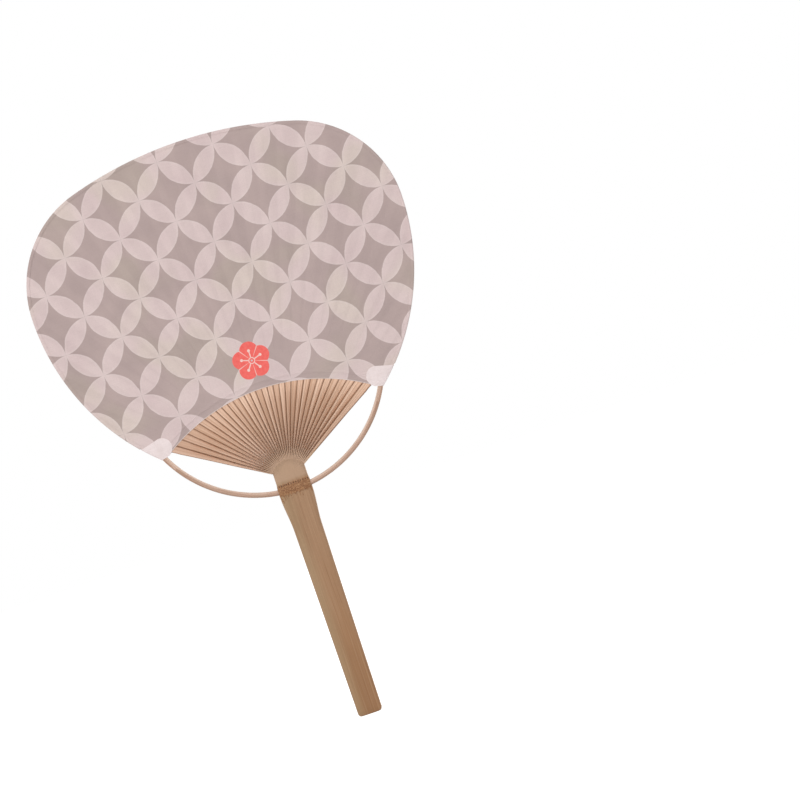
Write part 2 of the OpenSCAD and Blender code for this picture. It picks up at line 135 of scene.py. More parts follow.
def rim_reach(angle, margin):
    """Distance from the apex to a line that runs a margin inside the head's edge."""
    a = abs(angle)
    if a < CROWN_END:
        return reach(a, (0, CROWN_Z), CROWN_R - margin)
    if a < WAIST_ANGLE:
        return reach(a, (SHOULDER_X, WAIST_Z), SHOULDER_R - margin)
    return reach(a, (FLANK_X, WAIST_Z), FLANK_R - margin)


def arch_reach(angle):
    return reach(angle, (0, ARCH_Z), ARCH_R)


def flat_reach(angle):
    """Where a rib lies flat, a little before the papers begin."""
    return arch_reach(angle) - FLAT_MARGIN


def tip_reach(angle):
    return rim_reach(angle, RIM_T + RIB_TIP_W / 2 + TIP_GAP)


def full_reach(angle):
    """Where a rib stops filling its whole share of the fan, just past the papers' arch."""
    flat = flat_reach(angle)
    return min(flat + FLAT_MARGIN + PAST_ARCH, mix(flat, tip_reach(angle), 0.5))


def rib_angle(i):
    return -FAN + i * PITCH


def rib_width(angle, r):
    full = full_reach(angle)
    if r < full:
        return r * PITCH - RIB_SLIT
    return mix(full * PITCH - RIB_SLIT, RIB_TIP_W, (r - full) / (tip_reach(angle) - full))


# ---------------- meshes
def new_piece(name, verts, faces, node, material, attributes=None):
    """A mesh object from points in mm, riding on the body and standing for a CAD node."""
    mesh = bpy.data.meshes.new(name)
    mesh.from_pydata([tuple(c * MM for c in v) for v in verts], [], faces)
    for key, values in (attributes or {}).items():
        layer = mesh.attributes.new(key, "FLOAT", "POINT")
        layer.data.foreach_set("value", np.asarray(values, dtype=np.float32))
    mesh.validate()
    mesh.polygons.foreach_set("use_smooth", [True] * len(mesh.polygons))
    mesh.set_sharp_from_angle(angle=math.radians(SHARP))
    mesh.materials.append(material)
    piece = bpy.data.objects.new(name, mesh)
    bpy.context.scene.collection.objects.link(piece)
    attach(piece, "root")
    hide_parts(node)
    return piece


def apply_modifiers(piece):
    """Gives the piece the mesh that its modifiers make."""
    bpy.context.view_layer.update()
    shaped = piece.evaluated_get(bpy.context.evaluated_depsgraph_get())
    mesh = bpy.data.meshes.new_from_object(shaped)
    mesh.set_sharp_from_angle(angle=math.radians(SHARP))
    piece.modifiers.clear()
    piece.data = mesh


def loft(rings):
    """Points and faces of a closed solid through rings that have equally many points."""
    n = len(rings[0])
    verts = [p for ring in rings for p in ring]
    faces = [
        (i * n + j, i * n + (j + 1) % n, (i + 1) * n + (j + 1) % n, (i + 1) * n + j)
        for i in range(len(rings) - 1)
        for j in range(n)
    ]
    last = (len(rings) - 1) * n
    return verts, faces + [tuple(range(n - 1, -1, -1)), tuple(range(last, last + n))]


def shell(outer, inner, keep):
    """A closed sheet from two grids of points: its points, faces and their places in the grids.

    keep says which cells of the grid it has.
    """
    rows, cols = len(outer), len(outer[0])
    verts = [tuple(p) for row in outer for p in row] + [tuple(p) for row in inner for p in row]
    half = rows * cols

    def kept(i, j):
        return 0 <= i < rows - 1 and 0 <= j < cols - 1 and keep[i][j]

    faces = []
    for i in range(rows - 1):
        for j in range(cols - 1):
            if not keep[i][j]:
                continue
            a, b = i * cols + j, i * cols + j + 1
            c, d = b + cols, a + cols
            faces.append((a, b, c, d))
            faces.append((half + d, half + c, half + b, half + a))
            sides = ((a, b, i - 1, j), (b, c, i, j + 1), (c, d, i + 1, j), (d, a, i, j - 1))
            for p, q, next_i, next_j in sides:
                if not kept(next_i, next_j):
                    faces.append((q, p, half + p, half + q))
    used = sorted({v for f in faces for v in f})
    index = {v: k for k, v in enumerate(used)}
    return [verts[v] for v in used], [tuple(index[v] for v in f) for f in faces], used


def wobble(x, y, z, seed):
    """Smooth noise from about -1 to 1, another one for each seed."""
    return noise.noise(Vector((x, y, z + 37.0 * seed)))


# ---------------- materials
def rgb(r, g, b):
    """A colour given as it looks on a screen, 0 to 255, as the shader wants it."""
    return tuple(
        c / 255 / 12.92 if c / 255 <= 0.04045 else ((c / 255 + 0.055) / 1.055) ** 2.4
        for c in (r, g, b)
    ) + (1.0,)


def feed(tree, socket, value):
    """Gives a socket a constant, or a link to another socket."""
    if isinstance(value, bpy.types.NodeSocket):
        tree.links.new(value, socket)
    else:
        socket.default_value = value


def new_node(tree, kind, inputs=None, **settings):
    made = tree.nodes.new(kind)
    for key, value in settings.items():
        setattr(made, key, value)
    for key, value in (inputs or {}).items():
        feed(tree, made.inputs[key], value)
    return made


class Look:
    """A procedural material: its place in mm, and short calls for the nodes."""

    def __init__(self, name, specular=0.3):
        self.material = bpy.data.materials.new(name)
        self.material.use_nodes = True
        self.tree = self.material.node_tree
        self.shader = self.tree.nodes["Principled BSDF"]
        self.shader.inputs["Specular IOR Level"].default_value = specular
        place = self.node("ShaderNodeTexCoord").outputs["Object"]
        scaled = self.node("ShaderNodeVectorMath", {0: place, 3: 1 / MM}, operation="SCALE")
        self.place = scaled.outputs[0]
        self.x, self.y, self.z = self.node("ShaderNodeSeparateXYZ", {0: self.place}).outputs

    def node(self, kind, inputs=None, **settings):
        return new_node(self.tree, kind, inputs, **settings)

    def math(self, operation, a, b=0.0):
        return self.node("ShaderNodeMath", {0: a, 1: b}, operation=operation).outputs[0]

    def add(self, a, b):
        return self.math("ADD", a, b)

    def minus(self, a, b):
        return self.math("SUBTRACT", a, b)

    def mul(self, a, b):
        return self.math("MULTIPLY", a, b)

    def sine(self, a):
        return self.math("SINE", a)

    def absolute(self, a):
        return self.math("ABSOLUTE", a)

    def hypot(self, a, b):
        return self.math("SQRT", self.add(self.mul(a, a), self.mul(b, b)))

    def step(self, value, low, high, to_low=0.0, to_high=1.0):
        """A smooth change from to_low to to_high as value goes from low to high."""
        made = self.node(
            "ShaderNodeMapRange", {0: value, 1: low, 2: high, 3: to_low, 4: to_high},
            interpolation_type="SMOOTHSTEP",
        )
        return made.outputs[0]

    def pick(self, share, a, b):
        return self.node("ShaderNodeMix", {0: share, 2: a, 3: b}, data_type="FLOAT").outputs[0]

    def blend(self, share, a, b):
        return self.node("ShaderNodeMix", {0: share, 6: a, 7: b}, data_type="RGBA").outputs[2]

    def paint(self, colour, target, share, mask):
        """Moves a colour by a share towards a target, r, g, b, where the mask is 1."""
        return self.blend(self.mul(mask, share), colour, rgb(*target))

    def tint(self, colour, target, share, value, low, high):
        """Moves a colour towards a target, by a share once value has gone from low to high."""
        return self.blend(self.step(value, low, high, 0.0, share), colour, rgb(*target))

    def ramp(self, value, *stops):
        """A colour that runs through the stops, each a position and r, g, b."""
        made = self.node("ShaderNodeValToRGB", {0: value})
        ends = made.color_ramp.elements
        for end, (position, *colour) in ((ends[0], stops[0]), (ends[1], stops[-1])):
            end.position, end.color = position, rgb(*colour)
        for position, *colour in stops[1:-1]:
            ends.new(position).color = rgb(*colour)
        return made.outputs[0]

    def attribute(self, name):
        return self.node("ShaderNodeAttribute", attribute_name=name).outputs["Fac"]

    def noise(self, place, detail, rough, distortion=0.0):
        inputs = {"Vector": place, "Scale": 1.0, "Detail": detail, "Roughness": rough}
        inputs["Distortion"] = distortion
        return self.node("ShaderNodeTexNoise", inputs).outputs[0]

    def cloud(self, size, detail=2.0, rough=0.5, shift=0.0, distortion=0.0):
        """Noise from 0 to 1 whose lumps have about that size in mm along each axis."""
        size = size if isinstance(size, tuple) else (size,) * 3
        spread = self.node(
            "ShaderNodeVectorMath",
            {0: self.place, 1: tuple(1 / s for s in size), 2: (shift,) * 3},
            operation="MULTIPLY_ADD",
        ).outputs[0]
        return self.noise(spread, detail, rough, distortion)

    def sway(self, amount, *cloud):
        """A cloud that swings round 0, by half the amount to either side."""
        return self.mul(self.add(self.cloud(*cloud), -0.5), amount)

    def fibre(self, x, y, z, detail, rough):
        """Noise from 0 to 1 over three coordinates of its own."""
        along = self.node("ShaderNodeCombineXYZ", {0: x, 1: y, 2: z}).outputs[0]
        return self.noise(along, detail, rough)

    def polar(self, centre_z):
        """Distance and angle from straight up, seen from a point on the fan's middle line."""
        up = self.add(self.z, -centre_z)
        return self.hypot(self.x, up), self.math("ARCTAN2", self.x, up)

    def finish(self, colour, roughness, height, depth_mm):
        bump = self.node(
            "ShaderNodeBump", {"Strength": 1.0, "Distance": depth_mm * MM, "Height": height})
        looks = {"Base Color": colour, "Roughness": roughness, "Normal": bump.outputs[0]}
        for key, value in looks.items():
            feed(self.tree, self.shader.inputs[key], value)
        return self.material


def paper_grain(look):
    """Fibres that cross in the paper, with specks between them, from 0 to 1."""
    upright = look.cloud((0.5, 4, 7), 3, 0.6, 3.1, 0.4)
    level = look.cloud((6, 4, 0.6), 3, 0.6, 9.7, 0.4)
    speck = look.cloud(0.8, 4, 0.7, 5.3)
    return look.add(look.mul(look.add(upright, level), 0.3), look.mul(speck, 0.4))


def front_ink(look, grain):
    """Mauve-grey ground with the traditional shippo pattern of pale, interlocking petals."""
    tip_z, spacing = 311.3, 26.7
    # Along each of the pattern's two slanting axes: cells at the tip, and cells per mm of x and z
    axes = (19.977, 0.02737, 0.02578), (20.063, -0.02702, 0.02594)
    drift = look.add(look.cloud(60, 1, 0.5, 2.0), -0.5)
    x = look.add(look.add(look.x, look.mul(drift, 1.2)), look.sway(0.9, 6, 2, 0.5, 55.0))
    up = look.add(look.add(look.z, look.mul(drift, -0.8)), -tip_z)
    folded = []
    for start, by_x, by_z in axes:
        turned = look.add(look.add(look.mul(x, by_x), look.mul(up, by_z)), start)
        folded.append(look.absolute(look.add(look.math("FRACT", turned), -0.5)))
    near = look.math("MAXIMUM", *folded)
    side = look.math("MINIMUM", *folded)
    gap = look.hypot(look.minus(1.0, near), side)
    inside = look.mul(look.minus(math.sqrt(0.5), gap), spacing)
    petal = look.step(look.add(inside, look.sway(0.22, 1.1, 2)), -0.12, 0.14)

    tone = look.cloud(24, 2, 0.5, 7.0)
    patch = look.cloud(38, 1, 0.5, 13.0)
    ground = look.ramp(tone, (0.3, 175, 156, 153), (0.7, 185, 165, 161))
    taupe = look.ramp(tone, (0.3, 172, 157, 148), (0.7, 182, 167, 156))
    ground = look.blend(look.step(patch, 0.5, 0.66, 0.0, 0.6), ground, taupe)
    pink = look.ramp(tone, (0.3, 212, 191, 190), (0.7, 221, 202, 199))
    green = look.ramp(tone, (0.3, 211, 194, 187), (0.7, 220, 204, 195))
    petals = look.blend(look.step(patch, 0.48, 0.66), pink, green)
    # Faint veins run along each petal, and its edge is a little fuller in ink
    vein = look.sine(look.mul(look.add(gap, look.mul(drift, 0.05)), 150.0))
    petals = look.paint(petals, (196, 179, 176), 0.10, look.step(vein, 0.2, 1.0))
    petals = look.paint(petals, (224, 211, 208), 0.25, look.step(inside, 1.3, 0.3))
    colour = look.blend(petal, ground, petals)
    colour = look.tint(colour, (150, 133, 128), 0.16, grain, 0.7, 0.3)
    colour = plum_blossom(look, colour)
    arch = look.add(look.polar(ARCH_Z)[0], -ARCH_R)
    colour = look.tint(colour, (226, 212, 206), 0.7, arch, 0.55, 0.25)
    # Painted shade in the hollows where the paper sags between the ribs
    return look.paint(colour, (128, 112, 110), 0.06, look.attribute("hollow"))


def plum_blossom(look, colour):
    """A small coral-red plum blossom printed low on the middle line."""
    centre_z, ring, petal_r = 232.5, 6.4, 5.8
    out, turn = look.polar(centre_z)
    fifth = 2 * math.pi / 5
    wedge = look.math("FRACT", look.add(look.mul(turn, 1 / fifth), 10.5))
    wedge = look.mul(look.add(wedge, -0.5), fifth)
    along = look.mul(out, look.math("COSINE", wedge))
    across = look.mul(out, look.sine(wedge))
    from_petal = look.hypot(look.add(along, -ring), across)
    ragged = look.add(from_petal, look.sway(0.25, 0.7, 3))
    printed = look.step(ragged, petal_r + 0.12, petal_r - 0.12)
    # Pale marks: stamens, each with a dot at its end, a ring round the heart, and seams
    stem = look.mul(look.step(look.absolute(across), 0.42, 0.25), look.step(out, 2.1, 2.4))
    stem = look.mul(stem, look.step(out, 5.9, 5.6))
    dot = look.step(from_petal, 1.05, 0.8)
    heart = look.mul(look.step(out, 1.45, 1.7), look.step(out, 2.25, 2.0))
    seam = look.step(look.absolute(wedge), fifth / 2 - 0.05, fifth / 2)
    seam = look.mul(seam, look.step(out, 2.1, 2.7))
    pale = stem
    for mark in (dot, heart, seam):
        pale = look.math("MAXIMUM", pale, mark)
    ink = look.ramp(look.cloud(1.6, 4, 0.6), (0.25, 232, 96, 90), (0.75, 243, 118, 110))
    ink = look.paint(ink, (240, 214, 206), 0.85, pale)
    return look.blend(printed, colour, ink)


def back_ink(look, grain):
    """Cream washi with a band of traditional seigaiha waves along the arch."""
    scale_r, lines = 9.6, 5
    row_h = scale_r / 2
    cream = look.ramp(look.cloud(45, 2, 0.5, 4.0), (0.25, 235, 213, 186), (0.75, 243, 223, 199))
    cream = look.tint(cream, (225, 202, 178), 0.75, look.x, 60.0, -80.0)
    fibre = look.cloud((1.1, 6, 16), 4, 0.65, 17.0, 1.2)
    cream = look.tint(cream, (244, 229, 208), 0.35, fibre, 0.62, 0.74)
    cream = look.tint(cream, (206, 178, 148), 0.18, fibre, 0.36, 0.26)

    # The scale that each point belongs to: the lowest row whose circle covers it
    drift = look.sway(1.0, 40, 1, 0.5, 31.0)
    x = look.add(look.x, drift)
    z = look.add(look.z, look.mul(drift, -0.7))
    first = look.math("CEIL", look.mul(look.add(z, -scale_r), 1 / row_h))
    scales = []
    for k in range(3):
        row = look.add(first, float(k))
        shift = look.mul(look.math("FLOORED_MODULO", row, 2.0), scale_r)
        column = look.math("ROUND", look.mul(look.minus(x, shift), 0.5 / scale_r))
        cx = look.add(look.mul(column, 2 * scale_r), shift)
        cz = look.mul(row, row_h)
        scales.append((look.hypot(look.minus(x, cx), look.minus(z, cz)), cx, cz))
    scale = scales[2]
    for lower in (scales[1], scales[0]):
        hit = look.math("LESS_THAN", lower[0], scale_r)
        scale = [look.pick(hit, a, b) for a, b in zip(scale, lower)]
    dist, mid_x, mid_z = scale

    # How far the scale's centre lies above the arch decides its colour; the limits swell and dip
    above = look.add(look.hypot(mid_x, look.add(mid_z, -ARCH_Z)), -ARCH_R)
    swell = look.mul(look.sine(look.mul(mid_x, 0.062)), 7.0)
    swell_2 = look.mul(look.sine(look.add(look.mul(mid_x, 0.031), 1.2)), 6.0)
    level = look.minus(above, look.add(swell, swell_2))
    light = look.math("GREATER_THAN", level, 20.0)
    body = look.blend(light, rgb(168, 165, 156), rgb(226, 203, 176))
    body = look.blend(look.math("LESS_THAN", level, 9.0), body, rgb(141, 141, 137))
    far_right = look.add(level, look.mul(look.add(mid_x, -60.0), -0.55))
    body = look.blend(look.math("LESS_THAN", far_right, 6.0), body, rgb(78, 64, 66))
    body = look.paint(body, (205, 196, 184), 0.16, look.cloud(5, 3, 0.6, 41.0))
    wave = look.math("FRACT", look.mul(dist, lines / scale_r))
    line = look.step(look.absolute(look.add(wave, -0.5)), 0.34, 0.42)
    drawn = look.blend(light, rgb(219, 208, 190), rgb(205, 170, 146))
    printed = look.blend(look.mul(line, 0.85), body, drawn)
    rim = look.step(dist, scale_r - 0.55, scale_r - 0.3)
    printed = look.blend(look.mul(rim, 0.9), printed, drawn)
    colour = look.blend(look.math("LESS_THAN", level, 31.0), cream, printed)
    colour = look.tint(colour, (176, 146, 118), 0.14, grain, 0.7, 0.3)
    # Painted shade in the hollows where the paper sags between the ribs
    colour = look.paint(colour, (160, 128, 98), 0.04, look.attribute("hollow"))
    # Soft, uneven streaks of tone along the ribs, and painted shade in folds between some of them
    out, turn = look.polar(APEX_Z)
    streak = look.fibre(look.mul(turn, 24.0), look.mul(out, 0.014), 3.0, 4.0, 0.62)
    colour = look.tint(colour, (208, 178, 146), 0.5, streak, 0.5, 0.74)
    colour = look.tint(colour, (246, 230, 208), 0.4, streak, 0.47, 0.28)
    uneven = look.mul(look.cloud(30, 2), 5.0)
    fold = look.sine(look.add(look.mul(turn, 2 * math.pi / PITCH), uneven))
    some = look.step(look.cloud((30, 40, 60), 2, 0.5, 77.0), 0.45, 0.65, 0.0, 0.14)
    return look.paint(colour, (196, 164, 132), some, look.step(fold, 0.4, 1.0))


def sheet_print(name, ink, fine, coarse, shift, rough):
    """A printed sheet: fine and coarse are its relief, rough its roughness in the grain."""
    look = Look(name, 0.2)
    grain = paper_grain(look)
    height = look.add(look.mul(grain, fine), look.mul(look.cloud(9, 3, 0.55, shift), coarse))
    return look.finish(ink(look, grain), look.step(grain, 0.3, 0.7, *rough), height, 0.06)


def rim_print():
    """The binding is cut from the same printed sheets, so both patterns run on over it."""
    look = Look("rim_strip", 0.2)
    grain = paper_grain(look)
    side = look.step(look.y, -0.1, 0.1)
    colour = look.blend(side, front_ink(look, grain), back_ink(look, grain))
    fold = look.step(look.absolute(look.y), 0.5, 0.25)
    worn = look.step(look.cloud(2.2, 3), 0.35, 0.6, 0.25, 0.8)
    colour = look.paint(colour, (214, 198, 190), worn, fold)
    return look.finish(colour, look.step(grain, 0.3, 0.7, 0.82, 0.68), grain, 0.05)


def ear_paper():
    """White paper, a little greyer on the back of the fan."""
    look = Look("ear_sheet", 0.2)
    grain = paper_grain(look)
    side = look.step(look.y, -0.15, 0.15)
    colour = look.blend(side, rgb(240, 226, 225), rgb(212, 199, 198))
    colour = look.tint(colour, (196, 176, 170), 0.22, look.cloud(7, 3, 0.55, 6.0), 0.7, 0.3)
    colour = look.tint(colour, (170, 148, 142), 0.18, grain, 0.7, 0.35)
    height = look.add(grain, look.mul(look.cloud(3.5, 3, 0.5, 8.0), 1.6))
    return look.finish(colour, look.step(grain, 0.3, 0.7, 0.8, 0.65), height, 0.06)


def culm_skin(look, streak, jag, scar, band):
    """Tan skin, lighter on the neck, with the node's scribbled band and a row of root scars."""
    low = look.step(look.z, 0.0, 135.0)
    tan = look.blend(low, rgb(150, 108, 70), rgb(159, 123, 92))
    tan = look.paint(tan, (160, 137, 105), 0.5, look.step(look.x, 1.0, -7.5))
    tan = look.tint(tan, (176, 141, 110), 0.5, streak, 0.45, 0.72)
    tan = look.tint(tan, (124, 86, 56), 0.5, streak, 0.46, 0.25)
    tan = look.tint(tan, (136, 98, 66), 0.4, look.cloud((5, 6, 70), 2, 0.5, 5.0), 0.5, 0.75)
    neck = look.step(look.z, NODE_TOP + 0.5, NODE_TOP + 3.5)
    tan = look.paint(tan, (180, 148, 122), 0.8, neck)
    node_tone = look.ramp(
        scar, (0.3, 58, 32, 18), (0.42, 120, 76, 46), (0.54, 164, 118, 80), (0.68, 198, 158, 122))
    tan = look.blend(look.mul(band, 0.9), tan, node_tone)
    root = look.sine(look.mul(look.x, 2 * math.pi / ROOT_SCAR_STEP))
    off = look.absolute(look.add(look.z, look.mul(jag, 0.25)))
    off = look.absolute(look.add(off, -NODE_TOP + 0.2))
    dots = look.mul(look.step(root, -0.1, 0.55), look.step(off, 0.75, 0.3))
    return look.paint(tan, (78, 50, 36), 0.85, dots)


def culm_pith(look, streak, fine):
    """Pale fibres with dark dashes, torn short ones near the node, and the ledge above it."""
    wood = look.ramp(fine, (0.25, 190, 150, 124), (0.5, 212, 175, 150), (0.8, 226, 192, 168))
    wood = look.tint(wood, (164, 120, 90), 0.6, look.cloud((0.42, 2, 6), 2, 0.5, 27.0), 0.62, 0.72)
    wood = look.tint(wood, (198, 158, 130), 0.35, look.cloud((3, 4, 30), 2, 0.5, 33.0), 0.5, 0.75)
    long_one = look.cloud((0.42, 2, 34), 3, 0.55, 61.0)
    wood = look.tint(wood, (144, 100, 72), 0.85, long_one, 0.585, 0.635)
    wood = look.tint(wood, (184, 147, 121), 0.35, look.absolute(look.x), 6.3, 8.3)
    high = look.mul(look.step(look.z, 112, 124), look.step(look.z, 151, 146))
    short = look.step(look.cloud((0.5, 2, 3.2), 2, 0.5, 66.0), 0.58, 0.64, 0.0, 0.8)
    wood = look.paint(wood, (146, 104, 76), short, high)
    curl = look.cloud((4.2, 3, 4.6), 1, 0.5, 71.0, 1.8)
    curl = look.step(look.absolute(look.add(curl, -0.5)), 0.06, 0.02)
    curl = look.mul(curl, look.mul(look.step(look.z, 137, 141), look.step(look.z, 152, 149.5)))
    wood = look.paint(wood, (132, 90, 62), 0.9, curl)
    ledge = look.add(look.z, look.add(look.mul(look.cloud((3, 3, 3)), 1.2), -158.0))
    above = look.mul(look.step(ledge, -0.1, 0.3), 0.85)
    wood = look.blend(above, wood, rgb(208, 170, 126))
    slit = look.sine(look.add(look.mul(look.x, 4.4), look.mul(streak, 3.0)))
    slit = look.mul(look.step(slit, 0.45, 0.95), above)
    wood = look.paint(wood, (150, 108, 70), 0.8, slit)
    return look.tint(wood, (142, 104, 76), 0.6, look.absolute(ledge), 0.5, 0.15)


def culm_bamboo():
    """The handle: glossy skin in front, fibrous pith behind, cut flanks between them."""
    look = Look("culm_bamboo", 0.4)
    face = look.attribute("face")
    skin = look.step(face, -0.35, -0.7)
    pith = look.step(face, 0.35, 0.7)
    streak = look.cloud((0.7, 3, 55), 4, 0.6, 2.0)
    fine = look.cloud((0.28, 2, 9), 4, 0.7, 22.0)
    scar = look.cloud((1.5, 3, 0.9), 4, 0.75, 15.0, 2.0)
    # The dry brown node band, whose lower edge drips
    jag = look.sway(3.2, (1.6, 3, 2.5), 3, 0.6, 12.0)
    level = look.add(look.z, jag)
    drip = look.mul(look.step(look.cloud((0.9, 3, 6), 2, 0.5, 81.0), 0.5, 0.75), 4.5)
    band = look.step(look.add(level, drip), NODE_LOW - 0.6, NODE_LOW + 0.5)
    band = look.mul(band, look.step(level, NODE_TOP + 1.2, NODE_TOP + 0.2))

    cut = look.blend(look.step(fine, 0.3, 0.7), rgb(170, 132, 100), rgb(204, 168, 138))
    colour = look.blend(skin, cut, culm_skin(look, streak, jag, scar, band))
    colour = look.blend(pith, colour, culm_pith(look, streak, fine))
    # Saw cuts between the ribs run on a little way into the neck
    out, turn = look.polar(APEX_Z)
    cell = look.math("FRACT", look.add(look.mul(turn, 1 / PITCH), 20.0))
    groove = look.step(look.absolute(look.add(cell, -0.5)), 0.26, 0.44)
    reach_in = look.add(look.mul(look.cloud((1.5, 2, 3), 2, 0.5, 44.0), 6.0), 4.0)
    groove = look.mul(groove, look.step(out, reach_in, ROOT_R + 0.5))
    groove = look.mul(groove, look.step(look.z, APEX_Z + 3, APEX_Z + 6))
    colour = look.paint(colour, (148, 112, 86), 0.35, groove)
    height = look.add(look.mul(streak, 0.8), look.mul(look.mul(fine, 1.4), pith))
    height = look.add(height, look.mul(look.mul(scar, band), 2.0))
    height = look.minus(height, look.mul(groove, 1.5))
    gloss = look.pick(skin, 0.78, look.step(streak, 0.3, 0.7, 0.5, 0.38))
    return look.finish(colour, look.pick(band, gloss, 0.75), height, 0.12)


def rib_bamboo():
    """Split ribs: pink-tan in front, golden behind, with painted shade along their edges and
    creases.
    """
    look = Look("rib_bamboo", 0.3)
    across, face, shade = (look.attribute(name) for name in ("across", "face", "shade"))
    out, turn = look.polar(APEX_Z)
    fibre = look.fibre(look.mul(across, 3.2), look.mul(turn, 150.0), look.mul(out, 0.03), 4.0, 0.6)
    front = look.ramp(fibre, (0.32, 206, 162, 134), (0.5, 232, 194, 168), (0.68, 245, 214, 192))
    front = look.tint(front, (190, 153, 132), 0.6, look.x, -15.0, -65.0)
    back = look.ramp(fibre, (0.32, 204, 158, 106), (0.5, 231, 190, 140), (0.68, 243, 209, 166))
    warm = look.add(look.x, look.mul(look.add(shade, -0.5), 30.0))
    back = look.tint(back, (221, 165, 106), 0.55, warm, 10.0, -50.0)
    # On edge near the neck, a rib shows its two long edges instead of its two faces
    shown = look.pick(look.step(out, ROOT_R + 30, ROOT_R + 8), face, across)
    side = look.step(shown, -0.4, 0.4)
    colour = look.blend(side, front, back)
    colour = look.tint(colour, (186, 142, 110), 0.35, shade, 0.2, 1.0)
    stripe = look.step(look.absolute(look.add(across, look.mul(shade, 0.6))), 0.26, 0.08)
    colour = look.paint(colour, (164, 120, 90), 0.25, stripe)
    # Painted shade: the side that dives under the next rib is darkened, and more of it near the
    # neck
    ragged = look.mul(look.cloud((1.2, 2, 4), 2, 0.5, 91.0), 7.0)
    begun = look.step(look.add(out, ragged), ROOT_R + 4.5, ROOT_R + 10)
    under = look.mul(across, look.mul(face, -1.0))
    share = look.step(out, ROOT_R + 8, ROOT_R + 55, 0.25, -0.35)
    crease = look.step(look.add(under, share), 0.05, 0.65)
    crease = look.mul(crease, look.step(shade, 0.0, 1.0, 0.95, 0.6))
    colour = look.paint(colour, (126, 80, 50), begun, crease)
    # Each rib's long edges are darkened: their own browner edge, deepened by painted shade of the
    # gaps between the ribs
    edge = look.mul(look.step(look.absolute(across), 0.78, 0.98), begun)
    colour = look.paint(colour, (100, 62, 38), 0.6, edge)
    root = look.step(out, ROOT_R + 13, ROOT_R + 2)
    root_tone = look.blend(side, rgb(181, 149, 124), rgb(208, 170, 126))
    colour = look.blend(look.mul(root, 0.9), colour, root_tone)
    return look.finish(colour, look.step(fibre, 0.3, 0.7, 0.62, 0.48), fibre, 0.08)


def bow_bamboo():
    """A smooth round stick with long grain."""
    look = Look("bow_bamboo", 0.4)
    out, turn = look.polar(BOW_Z)
    off = look.add(out, -BOW_R)
    length = look.mul(look.absolute(turn), BOW_R * 0.03)
    grain = look.fibre(look.mul(off, 1.6), look.mul(look.y, 1.6), length, 5.0, 0.6)
    colour = look.ramp(grain, (0.3, 164, 126, 104), (0.5, 189, 154, 134), (0.72, 209, 180, 162))
    colour = look.tint(colour, (176, 148, 124), 0.4, look.cloud(9, 3, 0.5, 3.0), 0.45, 0.7)
    # Painted highlight: a pale line along the inside of the bend, the stick's upper side; painted
    # shade: a darker one along its outside
    off = look.add(off, look.sway(1.2, 16, 2, 0.5, 36.0))
    colour = look.tint(colour, (222, 196, 178), 0.6, off, -0.35, -0.95)
    colour = look.tint(colour, (158, 122, 100), 0.45, off, 0.0, 0.9)
    return look.finish(colour, look.step(grain, 0.3, 0.7, 0.6, 0.42), grain, 0.08)


def cotton():
    """Twisted cotton thread."""
    look = Look("thread", 0.1)
    turn = look.polar(ARCH_Z)[1]
    twist = look.sine(look.add(look.mul(turn, 900.0), look.mul(look.y, 9.0)))
    colour = look.blend(look.step(twist, -0.6, 0.8), rgb(176, 152, 124), rgb(226, 208, 182))
    return look.finish(colour, 0.9, twist, 0.03)


# ---------------- handle
def handle_half(z):
    grip = mix(GRIP_END_W, GRIP_TOP_W, min(1, max(0, z / FLARE_START)))
    flared = mix(grip, NODE_W, ease((z - FLARE_START) / (NODE_LOW - FLARE_START)))
    full = mix(flared, NECK_W, ease((z - NODE_TOP) / NECK_BLEND + 0.5))
    cut = END_R - min(z, END_R)
    return full / 2 - END_R + math.sqrt(END_R ** 2 - cut ** 2)


def node_band(z, blend):
    """1 on the node band and 0 off it, changing over a length of blend."""
    return ease((z - NODE_LOW) / blend + 0.5) - ease((z - NODE_TOP) / blend + 0.5)


def handle_front(x, z, half):
    """Depth of the skin: the culm's crown, and a rounding at each long edge."""
    axis = SKIN_Y - NODE_RISE * node_band(z, NODE_LIP) + CULM_R
    edge_x = half - SKIN_EDGE
    meet = CULM_R * edge_x / (CULM_R - SKIN_EDGE)
    if abs(x) <= meet:
        return axis - math.sqrt(CULM_R ** 2 - x * x)
    edge_y = axis - math.sqrt((CULM_R - SKIN_EDGE) ** 2 - edge_x ** 2)
    return edge_y - math.sqrt(max(0, SKIN_EDGE ** 2 - (abs(x) - edge_x) ** 2))


def handle_back(x, half, wall_only):
    """Depth of the split side: flat up to the ledge, and above it the culm's wall alone."""
    if wall_only:
        return CULM_Y - math.sqrt((CULM_R - WALL) ** 2 - x * x)
    edge_x = half - PITH_EDGE
    if abs(x) <= edge_x:
        return BACK_Y
    return BACK_Y - PITH_EDGE + math.sqrt(max(0, PITH_EDGE ** 2 - (abs(x) - edge_x) ** 2))


def skin_relief(x, z):
    """How far the skin stands out of the plain form: long waves, node scars and root pits."""
    out = 0.05 * wobble(x / 4, 0, z / 60, 1) + 0.02 * wobble(x / 0.8, 0, z / 25, 2)
    band = node_band(z + 0.7 * wobble(x / 1.5, 3, 0, 3), 1.2)
    out += band * (0.16 * wobble(x / 1.1, 0, z / 0.7, 4) + 0.1 * wobble(x / 0.5, 5, z / 0.5, 5))
    scar_z = NODE_LOW + 1.6 + 0.5 * wobble(x / 4, 1, 0, 6)
    out -= 0.3 * math.exp(-((z - scar_z) / 0.35) ** 2)
    pit = 0.5 + 0.5 * math.cos(2 * math.pi * x / ROOT_SCAR_STEP - math.pi / 2)
    out -= 0.4 * pit ** 2 * math.exp(-((z - NODE_TOP + 0.2) / 0.45) ** 2)
    return out


def pith_relief(x, z):
    """How far the split side stands out: fine fibres, and tool marks near the ledge."""
    out = 0.07 * wobble(x / 0.7, 7, z / 14, 7) + 0.05 * wobble(x / 2.2, 7, z / 40, 8)
    near_ledge = ease((z - 150) / 10)
    return out + near_ledge * 0.12 * wobble(x / 1.0, 7, z / 2.5, 9) - 0.05


